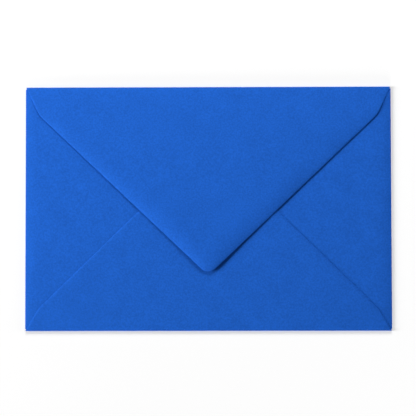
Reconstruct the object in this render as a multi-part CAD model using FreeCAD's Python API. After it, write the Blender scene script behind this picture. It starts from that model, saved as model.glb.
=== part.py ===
import FreeCAD, Part
import math
import os

# A paper envelope, empty and closed, lying flap side up on its address side.
# It is one die-cut sheet of paper, folded four times: a front panel, two side
# flaps folded in first, a bottom flap glued over them, and a deep pointed seal
# flap that lies closed and unglued on top. All sizes are in millimetres.
# Frame: +X to the right, +Y from the bottom fold to the seal flap's fold, +Z up.
# The origin is in the middle of the front panel's outer face, which lies at z = 0.

Vector = FreeCAD.Vector

# Overall size of the folded envelope
WIDTH = 180.0
HEIGHT = 120.0

# The paper, its tightest folds, and the air between layers that lie on each other
PAPER = 0.15
SIDE_FOLD_INNER_RADIUS = 0.20
LAYER_GAP = 0.06

# The springy back stands up a little from its four folds, over this distance
PILLOW_RISE = 0.50
PILLOW_RAMP = 11.0
PILLOW_POWER = 4

# Seal flap outline: how far its tip stays from the bottom fold, and its two shoulders
SEAL_TIP_TO_BOTTOM = 29.25
SEAL_TIP_RADIUS = 5.0
SEAL_SHOULDER_IN = 6.85
SEAL_SHOULDER_DOWN = 13.9
SEAL_SHOULDER_RADIUS = 11.0

# Seal flap form: unglued, it stands off the back, lifts towards its tip, arches up between
# its long edges and curls down along them
SEAL_STAND_OFF = 0.32
SEAL_STAND_OFF_RAMP = 12.0
SEAL_STAND_OFF_SIDE_RAMP = 5.0
SEAL_TIP_LIFT = 1.15
SEAL_CROWN = 1.00
SEAL_CROWN_START = 2.0
SEAL_CROWN_RAMP = 24.0
SEAL_ARCH = 0.42
SEAL_ARCH_START = 22.0
SEAL_ARCH_RAMP = 40.0
SEAL_CURL_WIDTH = 10.8
SEAL_CURL_POWER = 3.2
SEAL_RIDGE = 0.03

# Bottom flap: its two long edges aim at a point, and the throat edge cuts that point off
THROAT_TO_TOP = 46.0
POINT_PAST_THROAT = 18.0
THROAT_RADIUS = 8.0
BOTTOM_SHOULDER_IN = 6.45
BOTTOM_SHOULDER_UP = 10.8
BOTTOM_SHOULDER_RADIUS = 11.0

# Side flaps: the space between their two points, and what the bottom flap covers of them
SIDE_FLAP_SPACE = 34.0
SIDE_TIP_RADIUS = 8.0
SIDE_END_RELIEF = 0.5
SEAM_OVERLAP = 11.0

# Glued seams, which bond the bottom flap to both side flaps
GLUE_INSET = 3.0
GLUE_WIDTH = 5.0
GLUE_END_MARGIN = 9.0
GLUE_BITE = 0.03

# Height of each back layer's underside, where it leaves its own fold
SIDE_LEVEL = PAPER + 2 * SIDE_FOLD_INNER_RADIUS
UPPER_LEVEL = SIDE_LEVEL + PAPER + LAYER_GAP

# A fold is a half ring. Its inner radius is half the gap that it bridges.
UPPER_FOLD_INNER_RADIUS = (UPPER_LEVEL - PAPER) / 2
SIDE_FOLD_REACH = SIDE_FOLD_INNER_RADIUS + PAPER
UPPER_FOLD_REACH = UPPER_FOLD_INNER_RADIUS + PAPER

# Half sizes of the flat front panel, which ends where its four folds begin to bend
PANEL_X = WIDTH / 2 - SIDE_FOLD_REACH
PANEL_Y = HEIGHT / 2 - UPPER_FOLD_REACH

# Fineness of the curved faces: knots beside a fold, as shares of the ramp, and the grid between.
# The curl's form goes on a little past the cut edge, so that the face stays true up to it.
RAMP_KNOTS = [0.0, 0.11, 0.27, 0.5, 0.8, 1.25]
PILLOW_GRID = 45.0
SEAL_GRID = 2.6
CURL_BEYOND_EDGE = 1.1
SPLINE_DEGREE = 3

# Upright cutters pass through every layer
SEAL_TOP = UPPER_LEVEL + PILLOW_RISE + SEAL_STAND_OFF + SEAL_TIP_LIFT + SEAL_CROWN + SEAL_ARCH
CUTTER_HEIGHT = 2 * SEAL_TOP


def ramp(distance, width):
    """Rises from 0 at a fold to 1 at width: steep first, then level."""
    share = min(max(distance / width, 0.0), 1.0)
    return 1 - (1 - share) ** PILLOW_POWER


def ease(distance, width):
    """Rises from 0 to 1 over width, level at both ends."""
    share = min(max(distance / width, 0.0), 1.0)
    return share * share * (3 - 2 * share)


def pillow(x, y):
    """How far the back layers stand above their level at the folds."""
    across = ramp(PANEL_X - abs(x), PILLOW_RAMP)
    along = ramp(PANEL_Y - abs(y), PILLOW_RAMP)
    return PILLOW_RISE * across * along


def seal_shoulder():
    """Where the seal flap's left shoulder would meet its long edge if it weren't rounded."""
    return Vector(-WIDTH / 2 + SEAL_SHOULDER_IN, HEIGHT / 2 - SEAL_SHOULDER_DOWN, 0)


def seal_point():
    """Where the seal flap's long edges would meet if its tip weren't rounded."""
    shoulder = seal_shoulder()
    tip_y = -HEIGHT / 2 + SEAL_TIP_TO_BOTTOM
    # Each long edge runs from its shoulder past the tip's circle, which it touches.
    to_centre = Vector(0, tip_y + SEAL_TIP_RADIUS, 0) - shoulder
    steepness = math.atan2(-to_centre.y, to_centre.x)
    steepness += math.asin(SEAL_TIP_RADIUS / to_centre.Length)
    return Vector(0, shoulder.y + shoulder.x * math.tan(steepness), 0)


def seal_edge_distance(x, y):
    """How far a place on the flap lies inside the long edge on the left."""
    shoulder = seal_shoulder()
    along = (seal_point() - shoulder).normalize()
    return (x - shoulder.x) * -along.y + (y - shoulder.y) * along.x


def curl(distance):
    """How far the flap has dropped at that distance from a long edge: 1 at the edge."""
    share = min(max(1 - distance / SEAL_CURL_WIDTH, 0.0), CURL_BEYOND_EDGE)
    beside_ridge = (distance - SEAL_CURL_WIDTH) / (SEAL_CURL_WIDTH / 3)
    return share**SEAL_CURL_POWER - SEAL_RIDGE * math.exp(-(beside_ridge**2))


def seal_form(x, y):
    """Height of the seal flap above its level at the fold."""
    down = PANEL_Y - y
    depth = HEIGHT - SEAL_TIP_TO_BOTTOM
    stand_off = SEAL_STAND_OFF * ease(down, SEAL_STAND_OFF_RAMP)
    lift = stand_off * ease(PANEL_X - abs(x), SEAL_STAND_OFF_SIDE_RAMP)
    lift += SEAL_TIP_LIFT * (down / depth) ** 4
    crown = SEAL_CROWN * ease(down - SEAL_CROWN_START, SEAL_CROWN_RAMP)
    crown += SEAL_ARCH * ease(down - SEAL_ARCH_START, SEAL_ARCH_RAMP)
    drop = curl(seal_edge_distance(x, y)) + curl(seal_edge_distance(-x, y))
    return pillow(x, y) + lift + crown * (1 - drop)


def knots_between(low, high, grid):
    """Knots from low to high, close together beside both ends and evenly spaced between."""
    close = [PILLOW_RAMP * share for share in RAMP_KNOTS]
    start = [low + distance for distance in close]
    end = [high - distance for distance in reversed(close)]
    spans = max(1, round((end[0] - start[-1]) / grid))
    step = (end[0] - start[-1]) / spans
    return start + [start[-1] + step * i for i in range(1, spans)] + end


def pole_places(knots):
    """Where each control point belongs, so that the face keeps x and y as they are."""
    padded = [knots[0]] * SPLINE_DEGREE + knots + [knots[-1]] * SPLINE_DEGREE
    count = len(knots) + SPLINE_DEGREE - 1
    groups = [padded[i + 1 : i + 1 + SPLINE_DEGREE] for i in range(count)]
    return [sum(group) / SPLINE_DEGREE for group in groups]


def height_face(height, grid):
    """A smooth face z = height(x, y) over the whole panel."""
    x_knots = knots_between(-PANEL_X, PANEL_X, grid)
    y_knots = knots_between(-PANEL_Y, PANEL_Y, grid)
    poles = [
        [Vector(x, y, height(x, y)) for y in pole_places(y_knots)]
        for x in pole_places(x_knots)
    ]
    ends = SPLINE_DEGREE + 1
    surface = Part.BSplineSurface()
    surface.buildFromPolesMultsKnots(
        poles,
        [ends] + [1] * (len(x_knots) - 2) + [ends],
        [ends] + [1] * (len(y_knots) - 2) + [ends],
        x_knots,
        y_knots,
        False,
        False,
        SPLINE_DEGREE,
        SPLINE_DEGREE,
    )
    return surface.toShape()


def layer(face, level, thickness):
    """A sheet of that thickness with the face as its underside, raised to level."""
    sheet = face.copy()
    sheet.translate(Vector(0, 0, level))
    return sheet.extrude(Vector(0, 0, thickness))


def rounded_outline(corners):
    """A closed wire through corners, each given as a point and a radius (0 stays sharp)."""
    count = len(corners)
    starts, ends, arcs = [], [], []
    for i, (corner, radius) in enumerate(corners):
        before = (corners[i - 1][0] - corner).normalize()
        after = (corners[(i + 1) % count][0] - corner).normalize()
        half_angle = before.getAngle(after) / 2
        tangent = radius / math.tan(half_angle)
        starts.append(corner + before * tangent)
        ends.append(corner + after * tangent)
        if radius:
            bisector = (before + after).normalize()
            middle = corner + bisector * (radius / math.sin(half_angle) - radius)
            arcs.append(Part.Arc(starts[i], middle, ends[i]).toShape())
    lines = [
        Part.LineSegment(ends[i], starts[(i + 1) % count]).toShape()
        for i in range(count)
    ]
    return Part.Wire(Part.__sortEdges__(lines + arcs))


def cut_out(sheet, corners):
    """What is left of a layer inside an outline drawn in plan."""
    face = Part.Face(rounded_outline(corners))
    return sheet.common(face.extrude(Vector(0, 0, CUTTER_HEIGHT)))


def mirrored(corners):
    """The same corners on the right half, in the order that carries the outline on."""
    return [(Vector(-point.x, point.y, 0), radius) for point, radius in reversed(corners)]


def on_both_sides(shape):
    """The left piece and its mirror image on the right."""
    return [shape, shape.mirror(Vector(0, 0, 0), Vector(1, 0, 0))]


def front_panel():
    """The flat address side, between its four folds."""
    corner = Vector(-PANEL_X, -PANEL_Y, 0)
    return Part.makeBox(2 * PANEL_X, 2 * PANEL_Y, PAPER, corner)


def fold(inner_radius, length, start, turn):
    """A half ring of paper of that length. Unturned, it bulges to +X and runs along +Y."""
    centre = PAPER + inner_radius
    arcs = []
    for radius in (inner_radius + PAPER, inner_radius):
        low = Vector(0, 0, centre - radius)
        side = Vector(radius, 0, centre)
        high = Vector(0, 0, centre + radius)
        arcs.append(Part.Arc(low, side, high))
    outer, inner = arcs
    top = Part.LineSegment(outer.EndPoint, inner.EndPoint)
    base = Part.LineSegment(inner.StartPoint, outer.StartPoint)
    section = Part.Wire([edge.toShape() for edge in (outer, top, inner, base)])
    bend = Part.Face(section).extrude(Vector(0, length, 0))
    bend.rotate(Vector(0, 0, 0), Vector(0, 0, 1), turn)
    bend.translate(start)
    return bend


def side_fold():
    """The left fold. It stops just short of the corners, as the die cuts it."""
    start = Vector(-PANEL_X, PANEL_Y - SIDE_END_RELIEF, 0)
    length = 2 * (PANEL_Y - SIDE_END_RELIEF)
    return fold(SIDE_FOLD_INNER_RADIUS, length, start, 180)


def bottom_fold():
    """The fold that carries the bottom flap."""
    start = Vector(-PANEL_X, -PANEL_Y, 0)
    return fold(UPPER_FOLD_INNER_RADIUS, 2 * PANEL_X, start, -90)


def top_fold():
    """The fold that carries the seal flap."""
    start = Vector(PANEL_X, PANEL_Y, 0)
    return fold(UPPER_FOLD_INNER_RADIUS, 2 * PANEL_X, start, 90)


def bottom_edge():
    """The bottom flap's left long edge: its shoulder, the point it aims at, its inward normal."""
    shoulder = Vector(
        -WIDTH / 2 + BOTTOM_SHOULDER_IN, -HEIGHT / 2 + BOTTOM_SHOULDER_UP, 0
    )
    point = Vector(0, HEIGHT / 2 - THROAT_TO_TOP + POINT_PAST_THROAT, 0)
    along = (point - shoulder).normalize()
    return shoulder, point, Vector(along.y, -along.x, 0)


def side_flap(pillow_face):
    """The left side flap: its lower edge runs under the bottom flap, beside the glued seam."""
    shoulder, point, inward = bottom_edge()
    hidden = shoulder + inward * SEAM_OVERLAP
    slope = (point.y - shoulder.y) / (point.x - shoulder.x)
    low = -PANEL_Y + SIDE_END_RELIEF
    heel_x = hidden.x + (low - hidden.y) / slope
    tip_x = -SIDE_FLAP_SPACE / 2
    tip_y = hidden.y + (tip_x - hidden.x) * slope
    corners = [
        (Vector(-PANEL_X, low, 0), 0),
        (Vector(heel_x, low, 0), 0),
        (Vector(tip_x, tip_y, 0), SIDE_TIP_RADIUS),
        (Vector(-PANEL_X, -low, 0), 0),
    ]
    return cut_out(layer(pillow_face, SIDE_LEVEL, PAPER), corners)


def glued_seam(pillow_face):
    """The bond between the bottom flap and the left side flap, biting slightly into both."""
    shoulder, point, inward = bottom_edge()
    along = (point - shoulder).normalize()
    edge_length = (-SIDE_FLAP_SPACE / 2 - shoulder.x) / along.x
    start = shoulder + inward * GLUE_INSET + along * GLUE_END_MARGIN
    end = start + along * (edge_length - 3 * GLUE_END_MARGIN)
    across = inward * GLUE_WIDTH
    corners = [(start, 0), (end, 0), (end + across, 0), (start + across, 0)]
    level = SIDE_LEVEL + PAPER - GLUE_BITE
    return cut_out(layer(pillow_face, level, LAYER_GAP + 2 * GLUE_BITE), corners)


def bottom_flap(pillow_face):
    """The bottom flap: short shoulders, two long edges, and a straight throat edge."""
    shoulder, point, _ = bottom_edge()
    share = 1 - POINT_PAST_THROAT / (point.y - shoulder.y)
    left = [
        (Vector(-PANEL_X, -PANEL_Y, 0), 0),
        (shoulder, BOTTOM_SHOULDER_RADIUS),
        (shoulder + (point - shoulder) * share, THROAT_RADIUS),
    ]
    return cut_out(layer(pillow_face, UPPER_LEVEL, PAPER), left + mirrored(left))


def seal_flap(seal_face):
    """The seal flap: short shoulders, then two long straight edges to a rounded tip."""
    left = [
        (Vector(-PANEL_X, PANEL_Y, 0), 0),
        (seal_shoulder(), SEAL_SHOULDER_RADIUS),
    ]
    tip = [(seal_point(), SEAL_TIP_RADIUS)]
    return cut_out(layer(seal_face, UPPER_LEVEL, PAPER), left + tip + mirrored(left))


def envelope_sheet():
    """The whole folded sheet as one solid."""
    pillow_face = height_face(pillow, PILLOW_GRID)
    seal_face = height_face(seal_form, SEAL_GRID)
    pieces = [bottom_fold(), top_fold()]
    pieces += on_both_sides(side_fold())
    pieces += on_both_sides(side_flap(pillow_face))
    pieces += on_both_sides(glued_seam(pillow_face))
    pieces += [bottom_flap(pillow_face), seal_flap(seal_face)]
    return front_panel().fuse(pieces).removeSplitter()


def main():
    os.makedirs("parts", exist_ok=True)
    sheet = envelope_sheet()
    box = sheet.BoundBox
    print("solids", len(sheet.Solids), "valid", sheet.isValid(), "faces", len(sheet.Faces))
    print("size", round(box.XLength, 3), round(box.YLength, 3), round(box.ZLength, 3))
    print("area of the sheet, mm2", round(sheet.Volume / PAPER, 1))
    sheet.Solids[0].exportStep("parts/envelope_sheet.step")


main()
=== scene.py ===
# %% [markdown]
# # A blue paper envelope
#
# An envelope is one flat sheet of paper. A die cuts it out as a kind of cross, and four folds
# turn it into a pocket: two side flaps go in first, the bottom flap is glued over them, and a
# deep pointed flap closes it. This one is empty and lies on its address side, with the pointed
# flap closed but not stuck down, so the springy paper stands up a little.
#
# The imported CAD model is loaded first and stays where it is. It gives the place and the size.
# The sheet that shows in the picture is built round it, in metres and in the same frame.

import math

import bpy
import numpy as np
from mathutils import Matrix, Vector, noise
from mathutils.geometry import delaunay_2d_cdt


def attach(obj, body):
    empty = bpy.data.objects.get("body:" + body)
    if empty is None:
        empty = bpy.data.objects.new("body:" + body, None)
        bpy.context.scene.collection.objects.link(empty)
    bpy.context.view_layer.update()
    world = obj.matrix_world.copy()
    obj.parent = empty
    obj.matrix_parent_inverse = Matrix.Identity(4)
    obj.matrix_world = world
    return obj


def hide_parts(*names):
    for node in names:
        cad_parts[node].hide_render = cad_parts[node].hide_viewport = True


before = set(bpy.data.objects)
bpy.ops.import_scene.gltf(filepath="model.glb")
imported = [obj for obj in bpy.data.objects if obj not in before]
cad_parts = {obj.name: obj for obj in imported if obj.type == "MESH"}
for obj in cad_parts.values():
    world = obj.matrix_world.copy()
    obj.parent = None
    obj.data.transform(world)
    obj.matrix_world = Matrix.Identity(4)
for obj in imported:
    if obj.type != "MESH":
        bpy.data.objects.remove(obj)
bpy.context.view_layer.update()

# %% [markdown]
# ## The sizes of the sheet
#
# Paper is thought of in millimetres, so the sizes are written that way, and every point is
# turned into metres at the very end. The sheet is 0.15 mm thick, which is a firm writing paper
# of about 120 g/m2. The side flaps' folds are pressed flatter than the two folds that have to
# reach over them, so each layer of the back starts at its own level.

# %% Sizes, in millimetres
MM = 0.001
WIDTH = 180.0
HEIGHT = 120.0
PAPER = 0.15
SIDE_FOLD_RADIUS = 0.20
LAYER_GAP = 0.06
SIDE_LEVEL = PAPER + 2 * SIDE_FOLD_RADIUS
UPPER_LEVEL = SIDE_LEVEL + PAPER + LAYER_GAP
UPPER_FOLD_RADIUS = (UPPER_LEVEL - PAPER) / 2
PANEL_X = WIDTH / 2 - SIDE_FOLD_RADIUS - PAPER
PANEL_Y = HEIGHT / 2 - UPPER_FOLD_RADIUS - PAPER
print("flat front panel, mm:", round(2 * PANEL_X, 2), "x", round(2 * PANEL_Y, 2))

# %% [markdown]
# ## How the back stands up
#
# Folded paper never lies quite flat. Each fold pushes its flap up like a weak spring, and
# within about a centimetre the flap has bent back to level. One height function describes that
# for all layers of the back, so that they stay parallel and never cut through each other. It
# rises steeply beside the folds and then levels out.

# %% The springy back
PILLOW_RISE = 0.50
PILLOW_RAMP = 11.0
PILLOW_POWER = 4


def ramp(distance, width):
    share = min(max(distance / width, 0.0), 1.0)
    return 1 - (1 - share) ** PILLOW_POWER


def pillow(x, y):
    across = ramp(PANEL_X - abs(x), PILLOW_RAMP)
    return PILLOW_RISE * across * ramp(PANEL_Y - abs(y), PILLOW_RAMP)


print("the back's middle stands up by, mm:", pillow(0, 0))

# %% [markdown]
# ## The form of the pointed flap
#
# The pointed flap isn't glued. It stands off the back a little everywhere, and lifts more and
# more towards its tip. The gum along its two long edges dried on one face of the paper and
# shrank, so both edges curl down towards the back, most sharply right at the edge. That curl
# is what shows most on the real flap: a bright band along the left edge, which leans towards
# the lamp, and a dark one along the right edge. Between the two the flap arches up.

# %% The pointed flap's height
SEAL_SHOULDER_IN = 6.85
SEAL_SHOULDER_DOWN = 13.9
SEAL_SHOULDER = Vector((-WIDTH / 2 + SEAL_SHOULDER_IN, HEIGHT / 2 - SEAL_SHOULDER_DOWN))
SEAL_TIP_TO_BOTTOM = 29.25
SEAL_TIP_Y = -HEIGHT / 2 + SEAL_TIP_TO_BOTTOM
SEAL_TIP_RADIUS = 5.0
SEAL_STAND_OFF = 0.32
SEAL_STAND_OFF_RAMP = 12.0
SEAL_STAND_OFF_SIDE_RAMP = 5.0
SEAL_TIP_LIFT = 1.15
SEAL_CROWN = 1.00
SEAL_CROWN_START = 2.0
SEAL_CROWN_RAMP = 24.0
SEAL_ARCH = 0.42
SEAL_ARCH_START = 22.0
SEAL_ARCH_RAMP = 40.0
CURL_WIDTH = 10.8
CURL_POWER = 3.2
CURL_RIDGE = 0.03


def seal_point():
    """Where the two long edges would meet if the tip weren't rounded."""
    to_centre = Vector((0, SEAL_TIP_Y + SEAL_TIP_RADIUS)) - SEAL_SHOULDER
    steepness = math.atan2(-to_centre.y, to_centre.x)
    steepness += math.asin(SEAL_TIP_RADIUS / to_centre.length)
    return Vector((0, SEAL_SHOULDER.y + SEAL_SHOULDER.x * math.tan(steepness)))


SEAL_EDGE = (seal_point() - SEAL_SHOULDER).normalized()


def edge_distance(x, y):
    """How far a place lies inside the long edge on the left."""
    return (y - SEAL_SHOULDER.y) * SEAL_EDGE.x - (x - SEAL_SHOULDER.x) * SEAL_EDGE.y


def curl(distance):
    share = min(max(1 - distance / CURL_WIDTH, 0.0), 1.0)
    beside_ridge = (distance - CURL_WIDTH) / (CURL_WIDTH / 3)
    return share**CURL_POWER - CURL_RIDGE * math.exp(-(beside_ridge**2))


def ease(distance, width):
    share = min(max(distance / width, 0.0), 1.0)
    return share * share * (3 - 2 * share)


def seal_form(x, y):
    down = PANEL_Y - y
    stand_off = SEAL_STAND_OFF * ease(down, SEAL_STAND_OFF_RAMP)
    lift = stand_off * ease(PANEL_X - abs(x), SEAL_STAND_OFF_SIDE_RAMP)
    lift += SEAL_TIP_LIFT * (down / (PANEL_Y - SEAL_TIP_Y)) ** 4
    crown = SEAL_CROWN * ease(down - SEAL_CROWN_START, SEAL_CROWN_RAMP)
    crown += SEAL_ARCH * ease(down - SEAL_ARCH_START, SEAL_ARCH_RAMP)
    drop = curl(edge_distance(x, y)) + curl(edge_distance(-x, y))
    return pillow(x, y) + lift + crown * (1 - drop)


print("the tip's middle stands up by, mm:", round(seal_form(0, SEAL_TIP_Y), 2))

# %% [markdown]
# ## The cockle of the paper
#
# A sheet of paper is never perfectly smooth: it dried unevenly, and it has wide, very shallow
# waves that show only in low light. They could be painted as a bump, but as a real shape they
# are part of the mesh too. They are a few hundredths of a millimetre high, and they
# fade out beside the folds, where the crease pulls the paper flat.

# %% Cockle
COCKLE_HEIGHT = 0.022
COCKLE_LENGTH = 9.0
RIPPLES_PER_WAVE = 2.3
RIPPLE_SHARE = 0.45
LAYER_SHIFT = 5.3


def cockle(x, y, layer):
    """Shallow waves, the same each time the file is run."""
    place = Vector((x / COCKLE_LENGTH, y / COCKLE_LENGTH, LAYER_SHIFT * layer))
    waves = noise.noise(place) + RIPPLE_SHARE * noise.noise(place * RIPPLES_PER_WAVE)
    calm = ramp(PANEL_X - abs(x), PILLOW_RAMP) * ramp(PANEL_Y - abs(y), PILLOW_RAMP)
    return COCKLE_HEIGHT * waves * calm


print("cockle at one place, mm:", round(cockle(10, 10, 1), 4))

# %% [markdown]
# ## Outlines with rounded corners
#
# A flap is drawn as the steel rule of the die draws it: straight runs from corner to corner,
# each corner rounded. A curve object could do this, but here the outline's points are needed
# in the mesh, so they are worked out directly: even steps along each run, and shorter steps
# round each corner. The line goes against the clock round its part, and stops where the fold
# begins. The run from its last corner back to its first one is the fold.

# %% Outlines
STEP = 1.1
ARC_STEP = math.radians(7)


def run(start, end, step=STEP):
    """Even points from start up to, but without, end."""
    count = max(1, round((end - start).length / step))
    return [start.lerp(end, i / count) for i in range(count)]


def rounded(before, corner, after, radius):
    """Points on the arc that rounds a corner, both ends included."""
    into, out = (corner - before).normalized(), (after - corner).normalized()
    turn = into.angle_signed(out)
    reach = radius * math.tan(abs(turn) / 2)
    side = Vector((into.y, -into.x)) * math.copysign(1, turn)
    centre = corner - into * reach + side * radius
    count = max(2, math.ceil(abs(turn) / ARC_STEP))
    spoke = corner - into * reach - centre
    return [centre + Matrix.Rotation(-turn * i / count, 2) @ spoke for i in range(count + 1)]


def cut_line(corners):
    """The cut edge through corners, each a point and a radius, where 0 stays sharp."""
    places = [place for place, _ in corners]
    points = [places[0]]
    for i, (place, radius) in enumerate(corners[1:-1], 1):
        arc = rounded(places[i - 1], place, places[i + 1], radius) if radius else [place]
        points = points[:-1] + run(points[-1], arc[0]) + arc
    return points[:-1] + run(points[-1], places[-1]) + [places[-1]]


def mirrored(corners):
    return [(Vector((-place.x, place.y)), radius) for place, radius in reversed(corners)]


print("points in a run of 10 mm:", len(run(Vector((0, 0)), Vector((10, 0)))))

# %% [markdown]
# ## The five flat parts
#
# The front panel is a plain rectangle. The bottom flap has two short shoulders, two long edges
# and a straight throat where you would reach into the pocket. The side flaps run under it and
# under the pointed flap, so most of their outline is hidden. The corner points are the same as
# in the CAD model.

# %% Corner points of each part
SHOULDER_RADIUS = 11.0
THROAT_RADIUS = 8.0
THROAT_TO_TOP = 46.0
POINT_PAST_THROAT = 18.0
BOTTOM_SHOULDER_IN = 6.45
BOTTOM_SHOULDER_UP = 10.8
SIDE_END_RELIEF = 0.5

SIDE_END = PANEL_Y - SIDE_END_RELIEF
BOTTOM_SHOULDER = Vector((-WIDTH / 2 + BOTTOM_SHOULDER_IN, -HEIGHT / 2 + BOTTOM_SHOULDER_UP))
BOTTOM_POINT = Vector((0, HEIGHT / 2 - THROAT_TO_TOP + POINT_PAST_THROAT))
BOTTOM_EDGE = BOTTOM_POINT - BOTTOM_SHOULDER
THROAT_SHARE = 1 - POINT_PAST_THROAT / BOTTOM_EDGE.y


def symmetric(*left):
    return list(left) + mirrored(left)


front_corners = symmetric(
    (Vector((-PANEL_X, PANEL_Y)), 0),
    (Vector((-PANEL_X, SIDE_END)), 0),
    (Vector((-PANEL_X, -SIDE_END)), 0),
    (Vector((-PANEL_X, -PANEL_Y)), 0),
)
bottom_corners = symmetric(
    (Vector((-PANEL_X, -PANEL_Y)), 0),
    (BOTTOM_SHOULDER, SHOULDER_RADIUS),
    (BOTTOM_SHOULDER + BOTTOM_EDGE * THROAT_SHARE, THROAT_RADIUS),
)[::-1]
seal_left = [(Vector((-PANEL_X, PANEL_Y)), 0), (SEAL_SHOULDER, SHOULDER_RADIUS)]
seal_corners = seal_left + [(seal_point(), SEAL_TIP_RADIUS)] + mirrored(seal_left)
print("corners of the pointed flap:", len(seal_corners))

# %% [markdown]
# The side flap's lower edge runs beside the bottom flap's edge, further in by the width that
# the glue needs.

# %% Side flap corners
SEAM_OVERLAP = 11.0
SIDE_FLAP_SPACE = 34.0
SIDE_TIP_RADIUS = 8.0

side_tip_x = -SIDE_FLAP_SPACE / 2
inward = Vector((BOTTOM_EDGE.y, -BOTTOM_EDGE.x)).normalized() * SEAM_OVERLAP
hidden = BOTTOM_SHOULDER + inward
slope = BOTTOM_EDGE.y / BOTTOM_EDGE.x
side_corners = [
    (Vector((-PANEL_X, -SIDE_END)), 0),
    (Vector((hidden.x - (SIDE_END + hidden.y) / slope, -SIDE_END)), 0),
    (Vector((side_tip_x, hidden.y + (side_tip_x - hidden.x) * slope)), SIDE_TIP_RADIUS),
    (Vector((-PANEL_X, SIDE_END)), 0),
]
print("side flap corners:", [tuple(round(c, 1) for c in place) for place, _ in side_corners])

# %% [markdown]
# ## From an outline to a mesh
#
# A grid can't follow slanting and rounded edges. So each part is filled another way: loose
# points are scattered inside the outline in an even, staggered pattern, and Blender's own
# triangulation joins them and the outline into one net. Every triangle is nearly the same
# size, so the gentle shading of the paper stays smooth right up to the cut edge. First two
# measures are needed for many points at once: how far they are from a line, and whether they
# are inside the outline.

# %% Measures of a point
POINTS_AT_ONCE = 400


def gap_to(points, line):
    """How far each point is from a line that runs through the points of line."""
    start, along = line[:-1], line[1:] - line[:-1]
    gaps = []
    for block in np.array_split(points, max(1, len(points) // POINTS_AT_ONCE)):
        offset = block[:, None, :] - start[None, :, :]
        share = np.clip((offset * along).sum(axis=2) / (along**2).sum(axis=1), 0, 1)
        away = offset - share[:, :, None] * along
        gaps.append(np.sqrt((away**2).sum(axis=2).min(axis=1)))
    return np.concatenate(gaps)


def is_inside(points, line):
    """Whether each point lies within a closed line, by counting what it crosses."""
    start, along = line[:-1], line[1:] - line[:-1]
    x, y = points[:, 0][:, None], points[:, 1][:, None]
    crosses = (start[:, 1] > y) != (line[1:, 1] > y)
    rise = np.where(along[:, 1] == 0, 1, along[:, 1])
    right_of = x < start[:, 0] + (y - start[:, 1]) / rise * along[:, 0]
    return (crosses & right_of).sum(axis=1) % 2 == 1


square = np.array([(0, 0), (10, 0), (10, 10), (0, 10), (0, 0)], float)
middle = np.array([(5.0, 5.0)])
print("middle of a square:", gap_to(middle, square), is_inside(middle, square))

# %% [markdown]
# A die doesn't slice paper, it presses through it. So along every cut edge the sheet is bent
# down a little, over the last half millimetre. Where a flap is glued down it is pressed
# a second time, and bent further. That strip is why a real flap has a thin bright line along
# the edge that faces the lamp and a thin dark line along the other one. It gets two extra
# rows of points close to the edge.

# %% The pressed edge
DIE_PRESS = (0.10, 0.42)
GLUE_PRESS = (0.12, 0.50)
FOLD_KEEPS = 0.5


def pressed(x, y, gap, press):
    """How far the sheet is bent down at that gap from its cut edge. A fold holds it up."""
    depth, width = press
    held = ease(min(PANEL_X - abs(x), PANEL_Y - abs(y)), FOLD_KEEPS)
    return depth * held * max(1 - gap / width, 0.0) ** 2


middle_of_edge = pressed(0, 0, 0, DIE_PRESS), pressed(0, 0, 0, GLUE_PRESS)
print("a cut edge is bent down by, mm:", middle_of_edge)

# %% [markdown]
# Now a part can be filled. Its points are the outline, the rows beside its cut edge and the
# staggered pattern inside them. They are joined while they are still flat, and each one is
# raised to its height afterwards.

# %% Triangles with a height
EDGE_ROWS = (0.12, 0.34)
CLEAR_OF_ROWS = 0.55
CLEAR_OF_EDGE = 0.9
SAME_POINT = 1e-6


def row_inside(line, gap):
    """A row of points that follows the cut edge at that gap, on its inner side."""
    along = np.gradient(line, axis=0)
    along /= np.linalg.norm(along, axis=1)[:, None]
    return line + gap * np.stack([-along[:, 1], along[:, 0]], axis=1)


def staggered(line, step):
    """An even, staggered pattern of points over the space that a line takes up."""
    low, high = line.min(axis=0), line.max(axis=0)
    rows = np.arange(low[1], high[1], step * math.sqrt(0.75))
    x, y = np.meshgrid(np.arange(low[0], high[0], step), rows)
    x[1::2] += step / 2
    return np.stack([x.ravel(), y.ravel()], axis=1)


def paper_part(corners, step, height, press=None):
    """One flat part as points in millimetres and triangles, raised to its height."""
    cut = cut_line(corners)
    edge = cut + run(cut[-1], cut[0])[1:]
    cut = np.array([tuple(p) for p in cut])
    closed = np.array([tuple(p) for p in edge + edge[:1]])
    layers = [(staggered(closed, step), CLEAR_OF_ROWS * step + EDGE_ROWS[-1] / 2)]
    layers += [(row_inside(cut, gap), CLEAR_OF_EDGE * gap) for gap in EDGE_ROWS if press]
    inner = [p[is_inside(p, closed) & (gap_to(p, closed) > clear)] for p, clear in layers]
    points = edge + [Vector(p) for p in np.concatenate(inner).tolist()]
    rim = [(i, (i + 1) % len(edge)) for i in range(len(edge))]
    flat, _, faces, *_ = delaunay_2d_cdt(points, rim, [], 1, SAME_POINT)
    gaps = gap_to(np.array([tuple(p) for p in flat]), cut)
    drops = [pressed(*p, gap, press) if press else 0 for p, gap in zip(flat, gaps)]
    return [Vector((*p, height(*p) - drop)) for p, drop in zip(flat, drops)], list(faces)


# %% [markdown]
# ## The parts at their heights
#
# The mesh is the middle of the paper's thickness, so each level gets half a thickness added.
# The side flaps and the bottom flap share one height function. The front panel lies flat on
# the table and needs only a coarse net. The pointed flap gets the finest one.

# %% Make the parts
HALF_PAPER = PAPER / 2
FINE = 1.0
MIDDLE = 1.3
COARSE = 4.0


def back_height(level):
    return lambda x, y: level + HALF_PAPER + pillow(x, y) + cockle(x, y, 1)


def seal_height(x, y):
    return UPPER_LEVEL + HALF_PAPER + seal_form(x, y) + cockle(x, y, 2)


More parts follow.
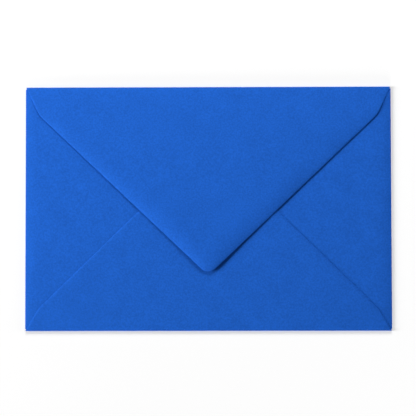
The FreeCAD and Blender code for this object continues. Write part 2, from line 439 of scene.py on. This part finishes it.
def flipped(part):
    """The same part on the other side of the envelope."""
    points, faces = part
    return [Vector((-p.x, p.y, p.z)) for p in points], [f[::-1] for f in faces]


front = paper_part(front_corners, COARSE, lambda x, y: HALF_PAPER)
side = paper_part(side_corners, MIDDLE, back_height(SIDE_LEVEL), DIE_PRESS)
bottom = paper_part(bottom_corners, MIDDLE, back_height(UPPER_LEVEL), GLUE_PRESS)
seal = paper_part(seal_corners, FINE, seal_height, DIE_PRESS)
parts = [front, side, flipped(side), bottom, seal]
print("triangles:", [len(faces) for _, faces in parts])

# %% [markdown]
# ## The four folds
#
# A crease in paper is a very tight half circle, well under a millimetre across, not a sharp
# line. Modelled as a real half ring it rounds the envelope's sides and catches the light as
# the real one does. Each ring starts on the front panel's edge and ends on its flap's edge, at
# the very same points, so the parts can be joined into one sheet afterwards.

# %% Fold the edges
FOLD_STEPS = 10


def fold_part(start, end, outward, inner_radius):
    """A half ring of paper along a line, from the front panel up to its flap."""
    radius = inner_radius + HALF_PAPER
    centre = PAPER + inner_radius
    line = run(start, end) + [end]
    points = []
    for i in range(FOLD_STEPS + 1):
        angle = math.pi * i / FOLD_STEPS
        out, z = radius * math.sin(angle), centre - radius * math.cos(angle)
        points += [Vector((p.x + outward[0] * out, p.y + outward[1] * out, z)) for p in line]
    width = len(line)
    corners = [row * width + i for row in range(FOLD_STEPS) for i in range(width - 1)]
    return points, [[c, c + 1, c + 1 + width, c + width] for c in corners]


side_fold = fold_part(
    Vector((-PANEL_X, SIDE_END)), Vector((-PANEL_X, -SIDE_END)), (-1, 0), SIDE_FOLD_RADIUS
)
bottom_fold = fold_part(
    Vector((-PANEL_X, -PANEL_Y)), Vector((PANEL_X, -PANEL_Y)), (0, -1), UPPER_FOLD_RADIUS
)
top_fold = fold_part(
    Vector((PANEL_X, PANEL_Y)), Vector((-PANEL_X, PANEL_Y)), (0, 1), UPPER_FOLD_RADIUS
)
parts += [side_fold, flipped(side_fold), bottom_fold, top_fold]
print("fold points:", [len(points) for points, _ in parts[5:]])

# %% [markdown]
# ## One sheet
#
# The five flat parts and the four folds are put into one mesh, and points that lie on the same
# place become one. The front panel's printed side faces down and the flaps face up, so its
# triangles are turned over first: then the whole sheet has one side out and one side in, which
# the thickness needs. The edges show if it worked: none may belong to three faces.

# %% Join the parts
import bmesh

SAME_PLACE = 0.002


def joined(name, pieces):
    points, faces = [], []
    for piece_points, piece_faces in pieces:
        faces += [[i + len(points) for i in face] for face in piece_faces]
        points += piece_points
    mesh = bpy.data.meshes.new(name)
    mesh.from_pydata(points, [], faces)
    work = bmesh.new()
    work.from_mesh(mesh)
    bmesh.ops.remove_doubles(work, verts=work.verts, dist=SAME_PLACE)
    print("edges with three faces:", sum(len(e.link_faces) > 2 for e in work.edges))
    print("cut edge, mm:", round(sum(e.calc_length() for e in work.edges if e.is_boundary), 1))
    print("area of the sheet, mm2:", round(sum(f.calc_area() for f in work.faces), 1))
    work.to_mesh(mesh)
    work.free()
    return mesh


front = (front[0], [face[::-1] for face in front[1]])
sheet = joined("blue_sheet", [front] + parts[1:])

# %% [markdown]
# ## Thickness and the cut edge
#
# The Solidify modifier gives the sheet its thickness on both sides of the middle, and a small
# bevel rounds the cut edge. Both are worked out while the mesh is still in millimetres,
# because a bevel this small is near the limits of the tool in metres. Then the mesh is shrunk
# to metres.

# %% Give it thickness
CUT_ROUNDING = 0.06
SHARP = math.radians(50)

envelope = bpy.data.objects.new("blue_sheet", sheet)
bpy.context.collection.objects.link(envelope)
thickness = envelope.modifiers.new("thickness", "SOLIDIFY")
thickness.thickness = PAPER
thickness.offset = 0
thickness.use_even_offset = True
thickness.use_quality_normals = True
rounding = envelope.modifiers.new("rounding", "BEVEL")
rounding.width = CUT_ROUNDING
rounding.segments = 3
rounding.limit_method = "ANGLE"
rounding.angle_limit = SHARP
rounding.harden_normals = True
sheet.shade_smooth()

bpy.context.view_layer.update()
solid = bpy.data.meshes.new_from_object(
    envelope.evaluated_get(bpy.context.evaluated_depsgraph_get())
)
envelope.modifiers.clear()
solid.transform(Matrix.Scale(MM, 4))
solid.name = "blue_sheet_solid"
envelope.data = solid
solid.calc_loop_triangles()
print("triangles in the sheet:", len(solid.loop_triangles))

# %% [markdown]
# ## The finish of the paper
#
# This is an uncoated paper, dyed through, so it is matt and has the same blue on both sides
# and at its cut edges. It still isn't one flat colour. Held to the light, paper looks cloudy,
# because its fibres lie thicker in some places: those clouds are 5 to 20 mm wide and very
# faint. Closer up there is a fine grain. Three noise textures give clouds, grain and fibres,
# each at its own real size. Object coordinates are in metres here, so a noise scale of 100
# means cells of 10 mm.

# %% Paper colour
DYE = (0.0128, 0.1125, 0.5506)
CLOUD_SCALE = 110
CLOUD_STRENGTH = 0.04
GRAIN_SCALE = 1200
GRAIN_STRENGTH = 0.11
NOISE_LOW = 0.3
NOISE_HIGH = 0.7

paper = bpy.data.materials.new("uncoated_blue_paper")
paper.use_nodes = True
tree = paper.node_tree
shader = tree.nodes["Principled BSDF"]
shader.inputs["Roughness"].default_value = 0.85
shader.inputs["Specular IOR Level"].default_value = 0.05
place = tree.nodes.new("ShaderNodeTexCoord")


def noise_of(scale, detail, stretch=None, turn=0.0):
    """A noise over the sheet. A stretched one gives streaks that lie along one direction."""
    texture = tree.nodes.new("ShaderNodeTexNoise")
    texture.inputs["Scale"].default_value = scale
    texture.inputs["Detail"].default_value = detail
    source = place.outputs["Object"]
    if stretch:
        mapping = tree.nodes.new("ShaderNodeMapping")
        mapping.inputs["Rotation"].default_value = (0, 0, turn)
        mapping.inputs["Scale"].default_value = (1 / stretch, 1, 1)
        tree.links.new(source, mapping.inputs["Vector"])
        source = mapping.outputs["Vector"]
    tree.links.new(source, texture.inputs["Vector"])
    return texture.outputs["Fac"]


def tinted(colour, texture, share):
    """The colour, darker where the noise is low and lighter where it is high."""
    tone = tree.nodes.new("ShaderNodeMapRange")
    tone.inputs["From Min"].default_value = NOISE_LOW
    tone.inputs["From Max"].default_value = NOISE_HIGH
    tone.inputs["To Min"].default_value = 1 - share
    tone.inputs["To Max"].default_value = 1 + share
    tree.links.new(texture, tone.inputs["Value"])
    product = tree.nodes.new("ShaderNodeVectorMath")
    product.operation = "SCALE"
    if isinstance(colour, tuple):
        product.inputs[0].default_value = colour
    else:
        tree.links.new(colour, product.inputs[0])
    tree.links.new(tone.outputs["Result"], product.inputs["Scale"])
    return product.outputs["Vector"]


clouds = tinted(DYE, noise_of(CLOUD_SCALE, 3), CLOUD_STRENGTH)
grain = tinted(clouds, noise_of(GRAIN_SCALE, 2), GRAIN_STRENGTH)
tree.links.new(grain, shader.inputs["Base Color"])
print("nodes so far:", len(tree.nodes))

# %% [markdown]
# The same grain is also a relief. Fibres lie crosswise in the surface and make it a few
# thousandths of a millimetre rough. A low lamp brings that out, so a bump map is right for it:
# it is far too fine for the mesh. Two sets of streaks that cross each other stand for the
# fibres.

# %% Paper relief
GRAIN_RELIEF = 0.000030
FIBRE_RELIEF = 0.000012
FIBRE_SCALE = 3200
FIBRE_STRETCH = 6
FIBRE_TURNS = (0.6, -0.9)


def relief(height, distance, under=None):
    """A bump of that real height in metres, on top of another one."""
    bump = tree.nodes.new("ShaderNodeBump")
    bump.inputs["Distance"].default_value = distance
    tree.links.new(height, bump.inputs["Height"])
    if under:
        tree.links.new(under, bump.inputs["Normal"])
    return bump.outputs["Normal"]


surface = relief(noise_of(GRAIN_SCALE, 2), GRAIN_RELIEF)
for turn in FIBRE_TURNS:
    fibres = noise_of(FIBRE_SCALE, 1, FIBRE_STRETCH, turn)
    surface = relief(fibres, FIBRE_RELIEF, surface)
tree.links.new(surface, shader.inputs["Normal"])
solid.materials.clear()
solid.materials.append(paper)
print("nodes in the paper:", len(tree.nodes))

# %% [markdown]
# ## Tie the sheet to the frame
#
# Nothing in an envelope moves by itself, so the part has one body. The sheet rides on it and
# stands for the CAD solid, which stays in the file for the physics.

# %% Ride on the frame
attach(envelope, "root")
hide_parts("envelope_sheet")

# %% [markdown]
# ## The floor
#
# The envelope was photographed on plain white. A floor under lamps isn't evenly white, because
# it gets less light the further away the lamps are. So where the camera sees the floor, its
# material adds a faint glow of its own, about as much as the lamps leave out. Most of the
# brightness still comes from the lamps, and it carries the thin shadow beside the envelope.
# Further out the glow takes over, so that the floor is white up to the horizon.

# %% White floor
FLOOR_SIZE = 3.0
FLOOR_DROP = 0.00002
LIT = 0.90
WHITE_LEVEL = 1.02
FALLOFF = (-1.0, 1.0, 0.0)
SHADOW_ENDS = 0.22
ALL_WHITE = 0.45
BOUNCED = 0.8

bpy.ops.mesh.primitive_plane_add(size=2 * FLOOR_SIZE, location=(0, 0, -FLOOR_DROP))
floor = bpy.context.object
floor.name = "floor"
white = bpy.data.materials.new("white_floor")
white.use_nodes = True
nodes, links = white.node_tree.nodes, white.node_tree.links
nodes.remove(nodes["Principled BSDF"])


def seen_by_eye(nodes, links):
    """1 for rays that show the background: straight, mirrored or through glass."""
    path = nodes.new("ShaderNodeLightPath")
    first = nodes.new("ShaderNodeMath")
    first.operation = "ADD"
    links.new(path.outputs["Is Camera Ray"], first.inputs[0])
    links.new(path.outputs["Is Glossy Ray"], first.inputs[1])
    both = nodes.new("ShaderNodeMath")
    both.operation = "ADD"
    both.use_clamp = True
    links.new(first.outputs["Value"], both.inputs[0])
    links.new(path.outputs["Is Transmission Ray"], both.inputs[1])
    return both.outputs["Value"]


def plain_diffuse(shade):
    node = nodes.new("ShaderNodeBsdfDiffuse")
    node.inputs["Color"].default_value = (shade, shade, shade, 1)
    return node.outputs["BSDF"]


def glow():
    return nodes.new("ShaderNodeEmission")


def mixed(share, low, high):
    node = nodes.new("ShaderNodeMixShader")
    links.new(share, node.inputs["Fac"])
    links.new(low, node.inputs[1])
    links.new(high, node.inputs[2])
    return node.outputs["Shader"]


def added(one, other):
    node = nodes.new("ShaderNodeAddShader")
    links.new(one, node.inputs[0])
    links.new(other, node.inputs[1])
    return node.outputs["Shader"]


position = nodes.new("ShaderNodeTexCoord")
distance = nodes.new("ShaderNodeVectorMath")
distance.operation = "LENGTH"
links.new(position.outputs["Object"], distance.inputs[0])
far = nodes.new("ShaderNodeMapRange")
far.inputs["From Min"].default_value = SHADOW_ENDS
far.inputs["From Max"].default_value = ALL_WHITE
links.new(distance.outputs["Value"], far.inputs["Value"])
more_light = nodes.new("ShaderNodeVectorMath")
more_light.operation = "DOT_PRODUCT"
more_light.inputs[1].default_value = FALLOFF
links.new(position.outputs["Object"], more_light.inputs[0])
left_out = nodes.new("ShaderNodeMath")
left_out.operation = "MULTIPLY_ADD"
left_out.use_clamp = True
left_out.inputs[1].default_value = -LIT
left_out.inputs[2].default_value = WHITE_LEVEL - LIT
links.new(more_light.outputs["Value"], left_out.inputs[0])
near_glow = glow()
links.new(left_out.outputs["Value"], near_glow.inputs["Strength"])
near_look = added(near_glow.outputs["Emission"], plain_diffuse(LIT))
seen = mixed(far.outputs["Result"], near_look, glow().outputs["Emission"])
look = mixed(seen_by_eye(nodes, links), plain_diffuse(BOUNCED), seen)
links.new(look, nodes["Material Output"].inputs["Surface"])
floor.data.materials.append(white)
print("floor, m:", tuple(round(side, 2) for side in floor.dimensions))

# %% [markdown]
# ## The light
#
# The back of an envelope is almost flat, so light from above would show no form at all. What
# shows here is the curl of the flap, and only because the lamps stand low. The two strong ones
# are on the left and behind. A surface that leans to the left turns brighter, one that leans
# to the right turns darker, and the flap throws a dark line on its right side and below its
# tip. Two weak ones, in front and on the right, keep the shadows open. The strong lamps are
# also nearer, so the paper is brightest at the upper left. A lamp's power follows from how
# much of the light it should give, its distance, its height and where it aims.

# %% Soft lamps
def soft_lamp(name, azimuth, elevation, distance, size, share, aim):
    """A lamp that gives a flat surface at the origin that share of full light."""
    turn, rise = math.radians(azimuth), math.radians(elevation)
    place = distance * Vector(
        (math.cos(turn) * math.cos(rise), math.sin(turn) * math.cos(rise), math.sin(rise))
    )
    beam = (Vector(aim) - place).normalized()
    feather = beam.dot(-place.normalized())
    lamp = bpy.data.lights.new(name, "AREA")
    lamp.shape = "DISK"
    lamp.size = size
    lamp.energy = share * (math.pi * distance) ** 2 / math.sin(rise) / feather
    holder = bpy.data.objects.new(name, lamp)
    holder.location = place
    holder.rotation_euler = (-beam).to_track_quat("Z", "Y").to_euler()
    bpy.context.collection.objects.link(holder)
    print(name, "power, W:", round(lamp.energy, 2))


MIDDLE_OF_FLOOR = (0, 0, 0)
BEYOND = (0, 0.6, 0)
soft_lamp("left_lamp", 180, 19, distance=1.0, size=0.46, share=0.46, aim=BEYOND)
soft_lamp("back_lamp", 89, 26, distance=0.8, size=0.28, share=0.40, aim=MIDDLE_OF_FLOOR)
soft_lamp("front_lamp", 270, 6, distance=1.6, size=0.25, share=0.08, aim=MIDDLE_OF_FLOOR)
soft_lamp("right_lamp", 0, 7, distance=1.2, size=0.25, share=0.04, aim=MIDDLE_OF_FLOOR)

# %% [markdown]
# ## The room
#
# A little light comes from everywhere. The camera sees the room as plain white.

# %% World
AMBIENT = 0.02

world = bpy.data.worlds.new("room")
bpy.context.scene.world = world
world.use_nodes = True
room_nodes, room_links = world.node_tree.nodes, world.node_tree.links
dim = room_nodes["Background"]
dim.inputs["Color"].default_value = (1, 1, 1, 1)
dim.inputs["Strength"].default_value = AMBIENT
bright = room_nodes.new("ShaderNodeBackground")
bright.inputs["Color"].default_value = (1, 1, 1, 1)
choice = room_nodes.new("ShaderNodeMixShader")
room_links.new(seen_by_eye(room_nodes, room_links), choice.inputs["Fac"])
room_links.new(dim.outputs["Background"], choice.inputs[1])
room_links.new(bright.outputs["Background"], choice.inputs[2])
room_links.new(choice.outputs["Shader"], room_nodes["World Output"].inputs["Surface"])
print("light from all round:", AMBIENT)

# %% [markdown]
# ## The camera
#
# The camera looks straight down on the back of the envelope. It isn't perfectly square to it:
# in the photograph the upper side is a little shorter than the lower one, which tells that the
# camera leaned by two degrees. A lens of 105 mm from 0.6 m away frames it.

# %% Camera
LENS_MM = 105.51
CAMERA_PLACE = (0.0066, -0.0207, 0.6)
CAMERA_LEAN = (2.004, 0.641, -0.096)

lens = bpy.data.cameras.new("camera")
lens.sensor_width = 36
lens.lens = LENS_MM
camera = bpy.data.objects.new("camera", lens)
camera.location = CAMERA_PLACE
camera.rotation_euler = [math.radians(angle) for angle in CAMERA_LEAN]
bpy.context.collection.objects.link(camera)
bpy.context.scene.camera = camera
bpy.context.scene.view_settings.view_transform = "Standard"
print("camera height, m:", camera.location.z)
